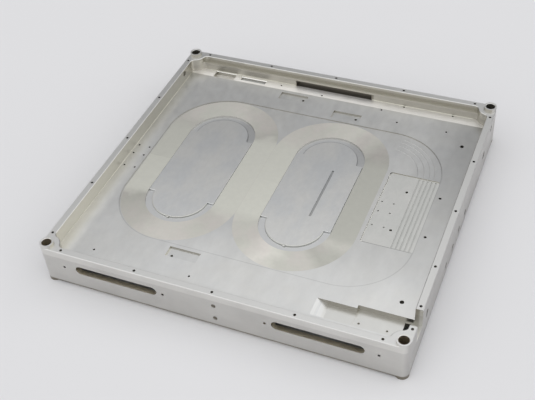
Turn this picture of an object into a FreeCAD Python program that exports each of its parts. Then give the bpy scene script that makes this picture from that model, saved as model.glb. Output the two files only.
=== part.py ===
"""Liquid cooling cold plate, as a FreeCAD document. Millimetres, +Z up.

The plate is an H in section: a rim wall around a tray on top, a web that holds the coolant,
and a shallow hollow below. Four posts stand out of both faces and carry the through bores.
The origin is the middle of the plate at the height of the posts' feet. X runs along the
slotted front wall, Y from the front to the back.

Coolant enters a port in the right wall, runs along a gallery drilled through the web, feeds
both race-track channels at their front ends and leaves from their back ends by a second
gallery. Each channel is milled from above and closed by a welded cover strip. The spreader
plates and the grooved pad are let into the floor.
"""
import FreeCAD, Part
import math
import os
import re
import Sketcher

DOC = FreeCAD.newDocument("ColdPlate")
SHEET = DOC.addObject("Spreadsheet::Sheet", "Sizes")
VECTOR = FreeCAD.Vector
UP = VECTOR(0, 0, 1)

# ---------------------------------------------------------------- driving dimensions

SIZES = {
    # body
    "post_span_x": 424.0,        # between the post axes, along X
    "post_span_y": 401.0,        # between the post axes, along Y
    "corner_radius": 8.0,        # outer corner, and outside radius of a post
    "post_height": 57.0,         # over both ends of a post
    "post_stand": 3.5,           # a post stands out of the body by this at each end
    "post_bore": 11.5,
    "post_chamfer": 0.5,
    "land_radius": 15.0,         # land around a post, on the cavity side
    "land_blend": 6.0,           # cutter radius where a land runs into a wall
    "wall": 8.5,
    "tray_depth": 18.5,          # rim to floor
    "web": 13.0,                 # floor to the ceiling of the lower hollow
    "hollow_corner": 24.0,
    "rail_drop": 7.5,            # rim to the rails along the front and back walls
    "rail_width": 4.7,
    "rim_edge": 0.6,             # chamfer on the rim
    # rim and side holes
    "rim_tap": 3.3,
    "rim_tap_depth": 9.0,
    "rim_inset_x": 20.8,         # from a post's axis to the first tapped hole along X
    "rim_inset_y": 18.5,         # and along Y
    "notch_tap": 45.3,           # the extra tapped hole beside the notch, from the floor's front edge
    # coolant circuit
    "loop_left": -110.5,         # X of the left loop's middle
    "loop_pitch": 151.0,
    "loop_straight": 60.5,       # half of a loop's straight stretch
    "cover_outer": 75.2,         # end radius of a cover strip, outside
    "cover_inner": 44.7,         # end radius of a cover strip, inside
    "cover_thickness": 4.0,
    "skim_depth": 0.8,           # the floor is skimmed by this around the loops
    "skim_margin": 1.3,          # and this far past the cover strips
    "lane_width": 10.5,
    "lane_rib": 2.0,
    "lane_depth": 6.0,
    "feed_width": 18.0,          # notch from a loop's end to the gallery
    "feed_rim": 1.3,             # left between a feed and the cover's outer edge
    "gallery_bore": 8.0,
    "gallery_drop": 6.5,         # floor to the gallery's axis
    "gallery_past": 0.3,         # the galleries' axes lie this far past the ends of the covers
    "port_bore": 10.0,
    "port_depth": 12.0,
    "tapping_bore": 5.0,
    "tapping_inset": 19.5,       # from the floor's right edge
    # plates let into the floor
    "inlay_depth": 2.0,
    "pad_sink": 1.0,             # the pad lies this far below the skimmed floor
    "fit_gap": 0.8,              # a plate is butted to the left, and this is left at its right
    "moat": 8.7,                 # between a spreader's round end and the cover strip
    "nib_width": 2.6,            # the nib at its front tip
    "nib_reach": 1.6,
    "spreader_edge": 0.3,
    "niche_edge": 0.8,
    "slit_x": 11.5,              # from the middle of the right spreader
    "slit_half": 43.0,
    "slit_width": 3.0,
    "slit_depth": 1.4,
    "pad_gap": 4.9,              # from the right cover strip to the pad's seat
    "pad_width": 62.4,           # of the seat, which ends at the skimmed area's right side
    "pad_half": 63.0,
    "pad_corner": 3.0,
    "groove_first": 37.1,        # from the left side of the pad's seat
    "groove_pitch": 5.2,
    "groove_width": 2.0,
    "groove_depth": 1.1,
    "groove_margin": 2.0,
    # small tray pockets in the floor
    "dish_length": 39.0,
    "dish_width": 15.0,
    "dish_depth": 2.2,
    # front wall
    "slot_offset": 121.3,        # X of a slot's middle
    "slot_length": 104.5,
    "slot_width": 12.0,
    "slot_drop": 3.5,            # from the floor down to a slot's middle
    "slot_skin": 6.0,            # wall left between the front face and the bay
    "bay_depth": 15.0,
    "bay_lip": 0.25,             # a bay ends this far short of its slot
    "bay_roof": 3.0,             # floor left over the bay
    "slot_tap": 3.3,
    "slot_tap_gap": 7.55,        # from a slot's inner end to its screw hole
    "slot_tap_inset": 31.0,      # from the body's side to the outer screw hole
    "slot_tap_drop": 4.5,
    "front_tap": 5.5,
    "front_tap_x": 1.5,
    "front_tap_rise": 0.5,       # the upper one, from the floor up
    "front_tap_drop": 7.0,       # the lower one, from the hollow's ceiling down
    "front_tap_depth": 7.0,
    # back wall
    "window_left": -55.5,
    "window_right": 53.5,
    "window_height": 8.2,
    # right and left walls
    "vent_bore": 9.0,
    "vent_first": -51.5,
    "vent_pitch": 31.0,
    "vent_drop": 7.0,            # from the hollow's ceiling down
    "lead_bore": 9.0,
    "lead_inset": 34.5,          # from the body's back
    "lead_rise": 7.5,            # from the floor up
    "left_bore": 7.0,
    "left_inset": 49.5,
    "left_rise": 12.5,
    # cable recess, measured from the floor's right and front edges
    "ramp_start": 107.5,
    "ramp_end": 94.0,
    "recess_step": 62.0,         # where the recess gets wider and a little deeper
    "recess_back": 35.7,
    "recess_front": 11.3,
    "recess_depth": 7.0,
    "notch_back": 40.3,
    "notch_front": 17.8,
    "notch_extra": 0.4,
    "notch_overrun": 1.0,        # the notch's cut runs on past both faces of the wall
    "pass_left": 9.5,
    "pass_right": 1.5,
    "pass_front": 28.3,
    "pass_back": 38.8,
    # holes in the floor
    "small_tap": 2.6,
    "small_tap_depth": 6.0,
    "pad_tap": 2.2,
    "screw_tap": 3.4,
    "screw_tap_depth": 7.0,
    "screw_x": 28.4,             # from the left side of the pad's seat
    "screw_y": 34.0,
    "outer_screw_gap": 7.0,      # past the skimmed area's right side
}

# the shallow dishes: the edge that Y is measured from, the middle, and the blind hole from there
DISHES = {
    "front_dish": ("front", -64.5, 45.8, -12.5, -4.5),
    "middle_dish": ("back", -50.0, 27.3, 14.5, 0.0),
    "back_dish": ("back", 32.5, 44.8, 13.5, -0.5),
}

# the two narrow recesses, from the floor's left and back edges: left, right, front, back, depth
NICHES = {"deep_niche": (33.5, 64.5, 13.8, 1.3, 5.8), "shallow_niche": (74.5, 111.5, 9.8, 3.8, 2.6)}

# small blind holes: what their X and Y are measured from, and each hole's place
FLOOR_TAPS = {
    "back_tap": ("middle", "back", [(-76.0, 6.3), (-14.0, 11.3), (73.0, 17.3)]),
    "corner_tap": ("right", "back", [(111.5, 2.3), (111.5, 36.8), (45.5, 2.3), (45.5, 36.8)]),
    "fore_tap": ("middle", "front", [(-167.5, 19.3), (-43.0, 17.8)]),
    "left_tap": ("left", "middle", [
        (4.5, 11.0), (4.5, -5.5), (4.5, -30.5), (19.5, 11.0), (19.5, -5.5), (19.5, -30.5)]),
}
RECESS_TAPS = {"recess_tap": ("right", "front", [(56.0, 21.8), (24.5, 21.8)])}
PAD_TAPS = {
    "pad_tap": ("pad", "middle", [
        (4.9, 9.5), (19.4, 9.5), (4.9, -7.5), (19.4, -7.5), (4.9, -32.0), (19.4, -32.0)]),
}
WORDS = ("one", "two", "three", "four", "five", "six")

LANES = 2
GROOVES = 5
VENTS = 4


def fill_sheet():
    """Write every driving dimension to the sheet, one aliased cell each."""
    cells = dict(SIZES)
    for name, (_, *values) in DISHES.items():
        cells.update(zip((f"{name}_{word}" for word in ("x", "y", "tap_x", "tap_y")), values))
    for name, values in NICHES.items():
        cells.update(zip((f"{name}_{word}" for word in ("left", "right", "front", "back", "depth")), values))
    for groups in (FLOOR_TAPS, RECESS_TAPS, PAD_TAPS):
        for name, (_, _, holes) in groups.items():
            for word, (x, y) in zip(WORDS, holes):
                cells[f"{name}_{word}_x"] = x
                cells[f"{name}_{word}_y"] = y
    for row, (alias, size) in enumerate(cells.items(), start=1):
        SHEET.set(f"A{row}", alias)
        SHEET.set(f"B{row}", str(size))
        SHEET.setAlias(f"B{row}", alias)
    DOC.recompute()
    return set(cells)


ALIASES = fill_sheet()

# ---------------------------------------------------------------- formulas used in many places

HALF_X = "(post_span_x / 2 + corner_radius)"
HALF_Y = "(post_span_y / 2 + corner_radius)"
POST_X = "(post_span_x / 2)"
POST_Y = "(post_span_y / 2)"
INNER_X = f"({HALF_X} - wall)"
INNER_Y = f"({HALF_Y} - wall)"
RIM = "(post_height - post_stand)"
FLOOR = f"({RIM} - tray_depth)"
CEILING = f"({FLOOR} - web)"
SKIM = f"({FLOOR} - skim_depth)"
SEAT = f"({SKIM} - cover_thickness)"
LOOP_RIGHT = "(loop_left + loop_pitch)"
LANES_WIDE = f"({LANES} * lane_width + {LANES - 1} * lane_rib)"
LANES_INNER = f"((cover_outer + cover_inner - {LANES_WIDE}) / 2)"
GALLERY_Y = "(loop_straight + cover_outer + gallery_past)"
GALLERY_Z = f"({FLOOR} - gallery_drop)"
SPREADER_END = "(cover_inner - moat)"
SKIM_LEFT = "(loop_left - cover_outer - skim_margin)"
SKIM_HALF = "(loop_straight + cover_outer + skim_margin)"
PAD_LEFT = f"({LOOP_RIGHT} + cover_outer + pad_gap)"
SKIM_RIGHT = f"({PAD_LEFT} + pad_width)"
FLOOR_Y = f"({INNER_Y} - rail_width)"
EDGES = {
    "middle": "{}", "left": "({} - " + INNER_X + ")", "right": "(" + INNER_X + " - {})",
    "front": "({} - " + FLOOR_Y + ")", "back": "(" + FLOOR_Y + " - {})", "pad": "(" + PAD_LEFT + " + {})",
}
SIGNS = (-1, 1)
NEAR = 1e-4                      # two heights or edges closer than this are one
CORNERS = [(i, j) for i in SIGNS for j in SIGNS]


def bound(formula):
    """The formula with each alias pointing at the sheet."""
    def pointed(found):
        word = found.group()
        return "Sizes." + word if word in ALIASES else word
    return re.sub(r"[a-z][a-z_]*", pointed, formula)


def number(formula):
    """The formula's present value."""
    return float(SHEET.evalExpression(bound(formula)))


def off(edge, size):
    """A size measured inwards from an edge of the floor, or from the left side of the pad's seat."""
    return EDGES[edge].format(size)


def places(groups):
    """The X and Y of each small blind hole in these groups."""
    return [(off(across, f"{name}_{word}_x"), off(along, f"{name}_{word}_y"))
            for name, (across, along, holes) in groups.items() for word, _ in zip(WORDS, holes)]


# ---------------------------------------------------------------- sketches


def new_body(label):
    body = DOC.addObject("PartDesign::Body", label)
    body.Label = label
    return body


def new_sketch(body, name, height="0", plane="XY_Plane"):
    """A sketch on one of the body's origin planes, moved along that plane's normal."""
    sketch = body.newObject("Sketcher::SketchObject", name)
    planes = {f.Role: f for f in body.Origin.OriginFeatures}
    sketch.AttachmentSupport = (planes[plane], [""])
    sketch.MapMode = "FlatFace"
    sketch.setExpression("AttachmentOffset.Base.z", bound(height))
    return sketch


def limit(sketch, kind, formula, *where):
    """Add a dimension to the sketch and bind it to the formula."""
    index = sketch.addConstraint(Sketcher.Constraint(kind, *where, number(formula)))
    sketch.setExpression(f"Constraints[{index}]", bound(formula))


def pin(sketch, geometry, point, x, y):
    """Hold a point of the geometry at (x, y) from the sketch's origin."""
    limit(sketch, "DistanceX", x, -1, 1, geometry, point)
    limit(sketch, "DistanceY", y, -1, 1, geometry, point)


def circle(sketch, x, y, diameter):
    start = Part.Circle(VECTOR(number(x), number(y), 0), UP, number(diameter) / 2)
    hole = sketch.addGeometry(start, False)
    pin(sketch, hole, 3, x, y)
    limit(sketch, "Diameter", diameter, hole)


def polygon(sketch, corners):
    """Straight lines through corners given as pairs of formulas, each corner held in place."""
    points = [VECTOR(number(x), number(y), 0) for x, y in corners]
    count = len(points)
    lines = [sketch.addGeometry(Part.LineSegment(points[i], points[(i + 1) % count]), False)
             for i in range(count)]
    for i, line in enumerate(lines):
        sketch.addConstraint(Sketcher.Constraint("Coincident", line, 2, lines[(i + 1) % count], 1))
        pin(sketch, line, 1, *corners[i])


def rectangle(sketch, left, right, low, high):
    polygon(sketch, [(left, low), (right, low), (right, high), (left, high)])


def arc(centre, radius, start_angle, end_angle):
    return Part.ArcOfCircle(Part.Circle(centre, UP, radius), start_angle, end_angle)


def rounded_rectangle(sketch, left, right, low, high, radius):
    """A rectangle with tangent arcs at its corners."""
    x0, x1, y0, y1, r = (number(f) for f in (left, right, low, high, radius))
    sides = [((x0 + r, y0), (x1 - r, y0)), ((x1, y0 + r), (x1, y1 - r)),
             ((x1 - r, y1), (x0 + r, y1)), ((x0, y1 - r), (x0, y0 + r))]
    centres = [(x1 - r, y0 + r), (x1 - r, y1 - r), (x0 + r, y1 - r), (x0 + r, y0 + r)]
    lines, arcs = [], []
    for i, ((start, end), centre) in enumerate(zip(sides, centres)):
        turn = (i - 1) * math.pi / 2
        lines.append(sketch.addGeometry(Part.LineSegment(VECTOR(*start, 0), VECTOR(*end, 0)), False))
        arcs.append(sketch.addGeometry(arc(VECTOR(*centre, 0), r, turn, turn + math.pi / 2), False))
    for i in range(4):
        sketch.addConstraint(Sketcher.Constraint("Tangent", lines[i], 2, arcs[i], 1))
        sketch.addConstraint(Sketcher.Constraint("Tangent", arcs[i], 2, lines[(i + 1) % 4], 1))
        sketch.addConstraint(Sketcher.Constraint("Vertical" if i % 2 else "Horizontal", lines[i]))
        if i:
            sketch.addConstraint(Sketcher.Constraint("Equal", arcs[0], arcs[i]))
    limit(sketch, "Radius", radius, arcs[0])
    limit(sketch, "DistanceY", low, -1, 1, lines[0], 1)
    limit(sketch, "DistanceX", right, -1, 1, lines[1], 1)
    limit(sketch, "DistanceY", high, -1, 1, lines[2], 1)
    limit(sketch, "DistanceX", left, -1, 1, lines[3], 1)


def stadium(sketch, x, y, half, radius, along="y"):
    """A race-track outline: two half circles whose centres lie half each side of (x, y)."""
    if along == "y":
        places, turn = [(x, f"{y} + {half}"), (x, f"{y} - {half}")], 0
    else:
        places, turn = [(f"{x} + {half}", y), (f"{x} - {half}", y)], -math.pi / 2
    arcs = []
    for place, start in zip(places, (turn, turn + math.pi)):
        centre = VECTOR(number(place[0]), number(place[1]), 0)
        arcs.append(sketch.addGeometry(arc(centre, number(radius), start, start + math.pi), False))
    lines = []
    for first, second in ((0, 1), (1, 0)):
        start = sketch.getPoint(arcs[first], 2)
        end = sketch.getPoint(arcs[second], 1)
        line = sketch.addGeometry(Part.LineSegment(start, end), False)
        sketch.addConstraint(Sketcher.Constraint("Tangent", arcs[first], 2, line, 1))
        sketch.addConstraint(Sketcher.Constraint("Tangent", line, 2, arcs[second], 1))
        lines.append(line)
    for end, place in zip(arcs, places):
        pin(sketch, end, 3, *place)
    sketch.addConstraint(Sketcher.Constraint("Equal", arcs[0], arcs[1]))
    limit(sketch, "Radius", radius, arcs[0])


# ---------------------------------------------------------------- features


def volume(body):
    return body.Shape.Volume if body.Tip else 0.0


def pad(body, sketch, length):
    feature = body.newObject("PartDesign::Pad", sketch.Name + "_pad")
    feature.Profile = sketch
    feature.setExpression("Length", bound(length))
    DOC.recompute()


def pocket(body, sketch, depth, reverse=False):
    """Cut along the sketch's normal, and make sure that something came away."""
    before = volume(body)
    feature = body.newObject("PartDesign::Pocket", sketch.Name + "_cut")
    feature.Profile = sketch
    feature.setExpression("Length", bound(depth))
    feature.Reversed = reverse
    DOC.recompute()
    if volume(body) > before - 0.01:
        raise RuntimeError(f"{sketch.Name} cuts nothing")
    return feature


def axis(body, role):
    return next(f for f in body.Origin.OriginFeatures if f.Role == role)


def row(body, features, direction, step, count):
    """Repeat features along one of the body's axes."""
    pattern = body.newObject("PartDesign::LinearPattern", features[0].Name + "_row")
    pattern.Originals = features
    pattern.Direction = (axis(body, direction), [""])
    pattern.Occurrences = count
    pattern.setExpression("Length", bound(f"{step} * {count - 1}"))
    body.Tip = pattern
    DOC.recompute()


def chamfer(body, size, chosen):
    """Chamfer the edges of the tip that pass the test."""
    tip = body.Tip
    names = [f"Edge{i}" for i, edge in enumerate(tip.Shape.Edges, start=1) if chosen(edge)]
    feature = body.newObject("PartDesign::Chamfer", tip.Name + "_edge")
    feature.Base = (tip, names)
    feature.setExpression("Size", bound(size))
    DOC.recompute()


def lies_at(edge, height):
    box = edge.BoundBox
    return abs(box.ZMin - height) < NEAR and abs(box.ZMax - height) < NEAR


# ---------------------------------------------------------------- outlines with arcs


def land_outline(sketch, half_x, half_y):
    """The outline of a cavity between the walls, with a land around the post at each corner.

    A land is round on the post's axis and bulges into the cavity. A concave blend runs it
    into each wall. The pieces are laid counter-clockwise from the front wall.
    """
    hx, hy, px, py = (number(f) for f in (half_x, half_y, POST_X, POST_Y))
    big, small = number("land_radius"), number("land_blend")
    reach = big + small
    beside_x = py - math.sqrt(reach ** 2 - (px - hx + small) ** 2)    # Y of the blends on the side walls
    beside_y = px - math.sqrt(reach ** 2 - (py - hy + small) ** 2)    # X of the blends on the front and back
    pieces, lands, blends, walls = [], [], [], []
    last = VECTOR(-beside_y, -hy, 0)
    for turn, (i, j) in enumerate(((1, -1), (1, 1), (-1, 1), (-1, -1))):
        post = VECTOR(i * px, j * py, 0)
        by_front = (VECTOR(i * beside_y, j * (hy - small), 0), VECTOR(i * beside_y, j * hy, 0))
        by_side = (VECTOR(i * (hx - small), j * beside_x, 0), VECTOR(i * hx, j * beside_x, 0))
        (entry, on_wall), (leave, next_wall) = (by_side, by_front) if turn % 2 else (by_front, by_side)
        on_land = post + (entry - post) * (big / reach)
        off_land = post + (leave - post) * (big / reach)
        walls.append(sketch.addGeometry(Part.LineSegment(last, on_wall), False))
        pieces.append((walls[-1], 1, 2))
        for centre, radius, start, end, group in (
                (entry, small, on_wall, on_land, blends), (post, big, off_land, on_land, lands),
                (leave, small, off_land, next_wall, blends)):
            angles = [math.atan2(p.y - centre.y, p.x - centre.x) for p in (start, end)]
            if angles[1] < angles[0]:
                angles[1] += 2 * math.pi
            group.append(sketch.addGeometry(arc(centre, radius, *angles), False))
            pieces.append((group[-1], 2, 1) if group is lands else (group[-1], 1, 2))
        pin(sketch, lands[-1], 3, f"{i} * {POST_X}", f"{j} * {POST_Y}")
        last = next_wall
    for (one, _, end), (two, start, _) in zip(pieces, pieces[1:] + pieces[:1]):
        sketch.addConstraint(Sketcher.Constraint("Tangent", one, end, two, start))
    for group, radius in ((lands, "land_radius"), (blends, "land_blend")):
        for piece in group[1:]:
            sketch.addConstraint(Sketcher.Constraint("Equal", group[0], piece))
        limit(sketch, "Radius", radius, group[0])
    for turn, wall in enumerate(walls):
        sketch.addConstraint(Sketcher.Constraint("Vertical" if turn % 2 else "Horizontal", wall))
        place = (f"-{half_y}", half_x, half_y, f"-{half_x}")[turn]
        limit(sketch, "DistanceX" if turn % 2 else "DistanceY", place, -1, 1, wall, 1)


def spreader_outline(sketch, x, side, end):
    """A plate whose shoulders end where the loop's straights end, with half-round ends past them.

    A nib stands out of the front tip.
    """
    cx, w, r, y, nib, reach = (number(f) for f in (
        x, side, end, "loop_straight", "nib_width / 2", f"{end} + nib_reach"))
    turn = math.asin(nib / r)
    back = sketch.addGeometry(arc(VECTOR(cx, y, 0), r, 0, math.pi), False)
    low = [sketch.addGeometry(arc(VECTOR(cx, -y, 0), r, start, stop), False) for start, stop in (
        (math.pi, 1.5 * math.pi - turn), (1.5 * math.pi + turn, 2 * math.pi))]
    root = y + r * math.cos(turn)

    def run(*corners):
        points = [VECTOR(cx + u, v, 0) for u, v in corners]
        return [sketch.addGeometry(Part.LineSegment(a, b), False) for a, b in zip(points, points[1:])]

    right = run((r, -y), (w, -y), (w, y), (r, y))
    left = run((-r, y), (-w, y), (-w, -y), (-r, -y))
    front = run((-nib, -root), (-nib, -y - reach), (nib, -y - reach), (nib, -root))
    loop = right + [back] + left + [low[0]] + front + [low[1]]
    for one, two in zip(loop, loop[1:] + loop[:1]):
        sketch.addConstraint(Sketcher.Constraint("Coincident", one, 2, two, 1))
    for lines, place, sign in ((right, f"{x} + {side}", 1), (left, f"{x} - {side}", -1)):
        for line in (lines[0], lines[2]):
            sketch.addConstraint(Sketcher.Constraint("Horizontal", line))
        sketch.addConstraint(Sketcher.Constraint("Vertical", lines[1]))
        pin(sketch, lines[1], 1, place, f"{-sign} * loop_straight")
        limit(sketch, "DistanceY", f"{sign} * loop_straight", -1, 1, lines[1], 2)
    for line in (front[0], front[2]):
        sketch.addConstraint(Sketcher.Constraint("Vertical", line))
    pin(sketch, front[1], 1, f"{x} - nib_width / 2", f"-(loop_straight + {end} + nib_reach)")
    pin(sketch, front[1], 2, f"{x} + nib_width / 2", f"-(loop_straight + {end} + nib_reach)")
    for piece, height in ((back, "loop_straight"), (low[0], "-loop_straight"), (low[1], "-loop_straight")):
        pin(sketch, piece, 3, x, height)
        limit(sketch, "Radius", end, piece)


# ---------------------------------------------------------------- the tray


def cut(body, name, height, depth, outlines, plane="XY_Plane", **how):
    """One sketch with these outlines, and its pocket."""
    sketch = new_sketch(body, name, height, plane)
    for helper, values in outlines:
        helper(sketch, *values)
    return pocket(body, sketch, depth, **how)


def shell(body):
    """The blank, the tray above the web and the hollow below it."""
    blank = new_sketch(body, "blank", "post_stand")
    rounded_rectangle(blank, f"-{HALF_X}", HALF_X, f"-{HALF_Y}", HALF_Y, "corner_radius")
    pad(body, blank, f"{RIM} - post_stand")
    cut(body, "upper_tray", RIM, "rail_drop", [(land_outline, (INNER_X, INNER_Y))])
    chamfer(body, "rim_edge", lambda edge: lies_at(edge, number(RIM)))
    cut(body, "lower_tray", f"{RIM} - rail_drop", "tray_depth - rail_drop",
        [(land_outline, (INNER_X, f"({INNER_Y} - rail_width)"))])
    cut(body, "hollow", "post_stand", f"{CEILING} - post_stand", [
        (rounded_rectangle, (f"-{INNER_X}", INNER_X, f"-{INNER_Y}", INNER_Y, "hollow_corner"))], reverse=True)


def posts(body):
    """The four corner posts and their through bores."""
    columns = new_sketch(body, "columns")
    for i, j in CORNERS:
        circle(columns, f"{i} * {POST_X}", f"{j} * {POST_Y}", "2 * corner_radius")
    pad(body, columns, "post_height")
    cut(body, "bores", "post_height", "post_height",
        [(circle, (f"{i} * {POST_X}", f"{j} * {POST_Y}", "post_bore")) for i, j in CORNERS])
    chamfer(body, "post_chamfer", lambda edge: lies_at(edge, number("post_height"))
            and edge.BoundBox.XLength < number("post_bore + corner_radius / 4"))


def coolant_circuit(body):
    """Both race-track channels with their seats, and the galleries that feed them."""
    cut(body, "skim", FLOOR, "skim_depth", [(rounded_rectangle, (
        SKIM_LEFT, SKIM_RIGHT, f"-{SKIM_HALF}", SKIM_HALF, "cover_outer + skim_margin"))])
    seat = cut(body, "cover_seat", SKIM, "cover_thickness", [
        (stadium, ("loop_left", "0", "loop_straight", radius)) for radius in ("cover_outer", "cover_inner")])
    edges = []
    for lane in range(LANES):
        inner = f"({LANES_INNER} + {lane} * (lane_width + lane_rib))"
        edges += [inner, f"({inner} + lane_width)"]
    lanes = cut(body, "lanes", SEAT, "lane_depth", [
        (stadium, ("loop_left", "0", "loop_straight", radius)) for radius in edges])
    left, right = "loop_left - feed_width / 2", "loop_left + feed_width / 2"
    inner = f"(loop_straight + {LANES_INNER} + lane_width / 2)"
    outer = "(loop_straight + cover_outer - feed_rim)"
    feeds = cut(body, "feeds", SEAT, "lane_depth", [
        (rectangle, (left, right, inner, outer)), (rectangle, (left, right, f"-{outer}", f"-{inner}"))])
    inlay = cut(body, "spreader_seat", SKIM, "inlay_depth",
        [(stadium, ("loop_left", "0", "loop_straight", "cover_inner"))])
    row(body, [seat, lanes, feeds, inlay], "X_Axis", "loop_pitch", 2)
    ends = [(f"{side} * {GALLERY_Y}", GALLERY_Z) for side in SIGNS]
    cut(body, "galleries", HALF_X, f"{HALF_X} - loop_left + feed_width / 2",
        [(circle, (y, z, "gallery_bore")) for y, z in ends], "YZ_Plane")
    cut(body, "ports", HALF_X, "port_depth", [(circle, (y, z, "port_bore")) for y, z in ends], "YZ_Plane")
    cut(body, "tappings", FLOOR, "gallery_drop", [
        (circle, (off("right", "tapping_inset"), f"{side} * {GALLERY_Y}", "tapping_bore"))
        for side in SIGNS])


def floor_details(body):
    """The pad's seat, the dishes, the niches and the blind holes."""
    cut(body, "pad_seat", SKIM, "pad_sink + inlay_depth", [
        (rounded_rectangle, (PAD_LEFT, SKIM_RIGHT, "-pad_half", "pad_half", "pad_corner"))])
    cut(body, "screw_taps", SKIM, "screw_tap_depth",
        [(circle, (off("pad", "screw_x"), f"{side} * screw_y", "screw_tap")) for side in SIGNS])
    cut(body, "outer_screw_taps", FLOOR, "screw_tap_depth",
        [(circle, (f"{SKIM_RIGHT} + outer_screw_gap", f"{side} * screw_y", "screw_tap")) for side in SIGNS])
    middles = {name: (f"{name}_x", off(edge, f"{name}_y")) for name, (edge, *_) in DISHES.items()}
    cut(body, "dishes", FLOOR, "dish_depth", [
        (rectangle, (f"{x} - dish_length / 2", f"{x} + dish_length / 2", f"{y} - dish_width / 2",
                     f"{y} + dish_width / 2")) for x, y in middles.values()])
    cut(body, "dish_taps", FLOOR, "dish_depth + small_tap_depth", [
        (circle, (f"{x} + {name}_tap_x", f"{y} + {name}_tap_y", "screw_tap"))
        for name, (x, y) in middles.items()])
    for name in NICHES:
        sides = [off("left", f"{name}_left"), off("left", f"{name}_right")]
        ends = [off("back", f"{name}_front"), off("back", f"{name}_back")]
        cut(body, name, FLOOR, f"{name}_depth", [(rectangle, (*sides, *ends))])
        left, right, front, back = (number(f) for f in (*sides, *ends))
        chamfer(body, "niche_edge", lambda edge: lies_at(edge, number(FLOOR))
                and left < edge.BoundBox.Center.x + NEAR and edge.BoundBox.Center.x < right + NEAR
                and front < edge.BoundBox.Center.y + NEAR and edge.BoundBox.Center.y < back + NEAR)
    cut(body, "floor_taps", FLOOR, "small_tap_depth", [
        (circle, (*place, "small_tap")) for place in places(FLOOR_TAPS)])


def rim_taps(body):
    """Tapped holes in the rim, five to a wall, and one more beside the notch."""
    along, across = f"({HALF_Y} - wall / 2)", f"({HALF_X} - wall / 2)"
    holes = [(across, off("front", "notch_tap"), "rim_tap")]
    for step in (-1, -0.5, 0, 0.5, 1):
        for side in SIGNS:
            holes.append((f"{step} * ({POST_X} - rim_inset_x)", f"{side} * {along}", "rim_tap"))
            holes.append((f"{side} * {across}", f"{step} * ({POST_Y} - rim_inset_y)", "rim_tap"))
    cut(body, "rim_taps", RIM, "rim_tap_depth", [(circle, hole) for hole in holes])


def front_wall(body):
    """The two long slots with the bays behind them, their screw holes and the middle pair."""
    centres = [f"{side} * slot_offset" for side in SIGNS]
    half = "(slot_length / 2 - bay_lip)"
    bays = [(rectangle, (f"{x} - {half}", f"{x} + {half}", f"slot_skin - {HALF_Y}",
                         f"slot_skin + bay_depth - {HALF_Y}")) for x in centres]
    cut(body, "bays", "post_stand", f"{FLOOR} - bay_roof - post_stand", bays, reverse=True)
    cut(body, "slots", HALF_Y, "slot_skin", [
        (stadium, (x, f"({FLOOR} - slot_drop)", "(slot_length - slot_width) / 2", "slot_width / 2", "x"))
        for x in centres], "XZ_Plane")
    beside = ("(slot_offset - slot_length / 2 - slot_tap_gap)", f"({HALF_X} - slot_tap_inset)")
    taps = [(circle, (f"{side} * {x}", f"{FLOOR} - slot_tap_drop", "slot_tap"))
            for side in SIGNS for x in beside]
    taps += [(circle, ("front_tap_x", z, "front_tap"))
             for z in (f"{FLOOR} + front_tap_rise", f"{CEILING} - front_tap_drop")]
    cut(body, "front_taps", HALF_Y, "front_tap_depth", taps, "XZ_Plane")


def other_walls(body):
    """The window in the back wall and the holes in the side walls."""
    opening = ("window_left", "window_right", FLOOR, f"{FLOOR} + window_height")
    cut(body, "window", f"-{HALF_Y}", "wall + rail_width", [(rectangle, opening)], "XZ_Plane", reverse=True)
    holes = [(circle, (f"vent_first + {i} * vent_pitch", f"{CEILING} - vent_drop", "vent_bore"))
             for i in range(VENTS)]
    holes.append((circle, (f"{HALF_Y} - lead_inset", f"{FLOOR} + lead_rise", "lead_bore")))
    cut(body, "right_holes", HALF_X, "wall", holes, "YZ_Plane")
    cut(body, "left_hole", f"-{HALF_X}", "wall", [
        (circle, (f"{HALF_Y} - left_inset", f"{FLOOR} + left_rise", "left_bore"))], "YZ_Plane", reverse=True)


def cable_recess(body):
    """The sunk way from the floor, down a ramp, out through the notch in the right wall."""
    low = f"({FLOOR} - recess_depth)"
    front, back, step = off("front", "recess_front"), off("front", "notch_back"), off("right", "recess_step")
    cut(body, "ramp", f"-{front}", "recess_back - recess_front", [(polygon, ([
        (off("right", "ramp_start"), FLOOR), (off("right", "ramp_end"), low), (step, low), (step, FLOOR)],))],
        "XZ_Plane")
    cut(body, "deep_recess", FLOOR, "recess_depth + notch_extra", [(rectangle, (step, INNER_X, front, back))])
    cut(body, "notch", RIM, "tray_depth + recess_depth + notch_extra", [(rectangle, (
        f"{INNER_X} - notch_overrun", f"{HALF_X} + notch_overrun", off("front", "notch_front"), back))])
    cut(body, "pass_through", low, f"{low} - {CEILING}", [(rectangle, (
        off("right", "pass_left"), off("right", "pass_right"), off("front", "pass_front"),
        off("front", "pass_back")))])
    cut(body, "recess_taps", low, "small_tap_depth / 2",
        [(circle, (*place, "small_tap")) for place in places(RECESS_TAPS)])


def base_tray():
    body = new_body("base_tray")
    stages = (shell, posts, front_wall, other_walls, cable_recess, coolant_circuit, floor_details, rim_taps)
    for stage in stages:
        stage(body)
    return body


# ---------------------------------------------------------------- the pieces let into it


def channel_cover(label, x):
    """The race-track strip that closes one channel, welded in flush with the floor."""
    body = new_body(label)
    strip = new_sketch(body, label + "_strip", SEAT)
    stadium(strip, x, "0", "loop_straight", "cover_outer")
    stadium(strip, x, "0", "loop_straight", "cover_inner")
    pad(body, strip, "cover_thickness")
    return body


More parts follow.
